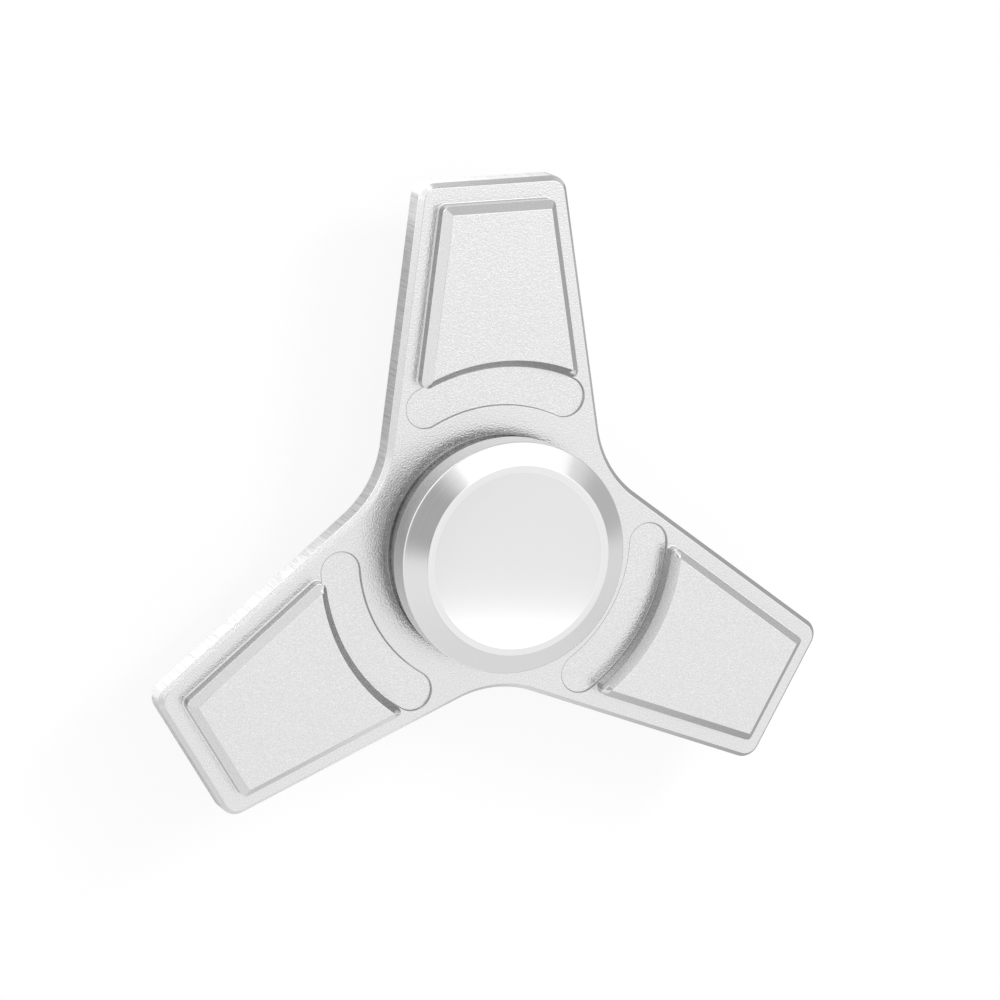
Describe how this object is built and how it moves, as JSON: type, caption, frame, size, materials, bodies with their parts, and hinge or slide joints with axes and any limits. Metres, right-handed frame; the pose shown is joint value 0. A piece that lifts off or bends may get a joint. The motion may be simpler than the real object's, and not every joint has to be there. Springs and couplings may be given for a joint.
{
  "type": "fidget spinner",
  "caption": "Aluminium fidget spinner: tapering arms with bevelled weight pads turn on a shielded ball bearing held between screwed, dished finger caps.",
  "frame": {"origin": "on the hub axis, at the mid-plane of the plate and the bearing", "axes": "+Z along the spin axis toward the front cap, +Y along the first arm, +X to its right seen from the front"},
  "size_m": [0.0696, 0.0607, 0.0152],
  "materials": {
    "body_aluminium": "fine bead-blasted natural aluminium, milled bevels and walls",
    "cap_aluminium": "turned aluminium, satin dish and bright bevel with fine turning marks",
    "bearing_steel": "ground bearing steel",
    "ball_steel": "polished bearing balls",
    "cage_steel": "pressed sheet steel",
    "shield_steel": "pressed sheet steel",
    "clip_steel": "spring steel"
  },
  "bodies": {
    "finger_caps": {"front_cap": "cap_aluminium", "rear_cap": "cap_aluminium", "inner_ring": "bearing_steel"},
    "rotor": {"spinner_body": "body_aluminium", "outer_ring": "bearing_steel", "shield_front": "shield_steel", "shield_rear": "shield_steel", "shield_clip_front": "clip_steel", "shield_clip_rear": "clip_steel"},
    "cage": {"cage_front": "cage_steel", "cage_rear": "cage_steel", "cage_rivets": "cage_steel"},
    "ball_1": {"ball_1": "ball_steel"},
    "ball_2": {"ball_2": "ball_steel"},
    "ball_3": {"ball_3": "ball_steel"},
    "ball_4": {"ball_4": "ball_steel"},
    "ball_5": {"ball_5": "ball_steel"},
    "ball_6": {"ball_6": "ball_steel"},
    "ball_7": {"ball_7": "ball_steel"}
  },
  "joints": [
    {"name": "body_spin", "type": "hinge", "parent": "finger_caps", "child": "rotor", "pos_m": [0, 0, 0], "axis": [0, 0, 1], "continuous": true},
    {"name": "cage_orbit", "type": "hinge", "parent": "finger_caps", "child": "cage", "pos_m": [0, 0, 0], "axis": [0, 0, 1], "continuous": true},
    {"name": "ball_1_roll", "type": "hinge", "parent": "cage", "child": "ball_1", "pos_m": [0, 0.0075, 0], "axis": [0, 0, 1], "continuous": true},
    {"name": "ball_2_roll", "type": "hinge", "parent": "cage", "child": "ball_2", "pos_m": [-0.00586, 0.00468, 0], "axis": [0, 0, 1], "continuous": true},
    {"name": "ball_3_roll", "type": "hinge", "parent": "cage", "child": "ball_3", "pos_m": [-0.00731, -0.00167, 0], "axis": [0, 0, 1], "continuous": true},
    {"name": "ball_4_roll", "type": "hinge", "parent": "cage", "child": "ball_4", "pos_m": [-0.00325, -0.00676, 0], "axis": [0, 0, 1], "continuous": true},
    {"name": "ball_5_roll", "type": "hinge", "parent": "cage", "child": "ball_5", "pos_m": [0.00325, -0.00676, 0], "axis": [0, 0, 1], "continuous": true},
    {"name": "ball_6_roll", "type": "hinge", "parent": "cage", "child": "ball_6", "pos_m": [0.00731, -0.00167, 0], "axis": [0, 0, 1], "continuous": true},
    {"name": "ball_7_roll", "type": "hinge", "parent": "cage", "child": "ball_7", "pos_m": [0.00586, 0.00468, 0], "axis": [0, 0, 1], "continuous": true}
  ],
  "couplings": [
    {"joint": "cage_orbit", "follows": "body_spin", "ratio": 0.6323},
    {"joint": "ball_1_roll", "follows": "body_spin", "ratio": 1.7573},
    {"joint": "ball_2_roll", "follows": "body_spin", "ratio": 1.7573},
    {"joint": "ball_3_roll", "follows": "body_spin", "ratio": 1.7573},
    {"joint": "ball_4_roll", "follows": "body_spin", "ratio": 1.7573},
    {"joint": "ball_5_roll", "follows": "body_spin", "ratio": 1.7573},
    {"joint": "ball_6_roll", "follows": "body_spin", "ratio": 1.7573},
    {"joint": "ball_7_roll", "follows": "body_spin", "ratio": 1.7573}
  ]
}
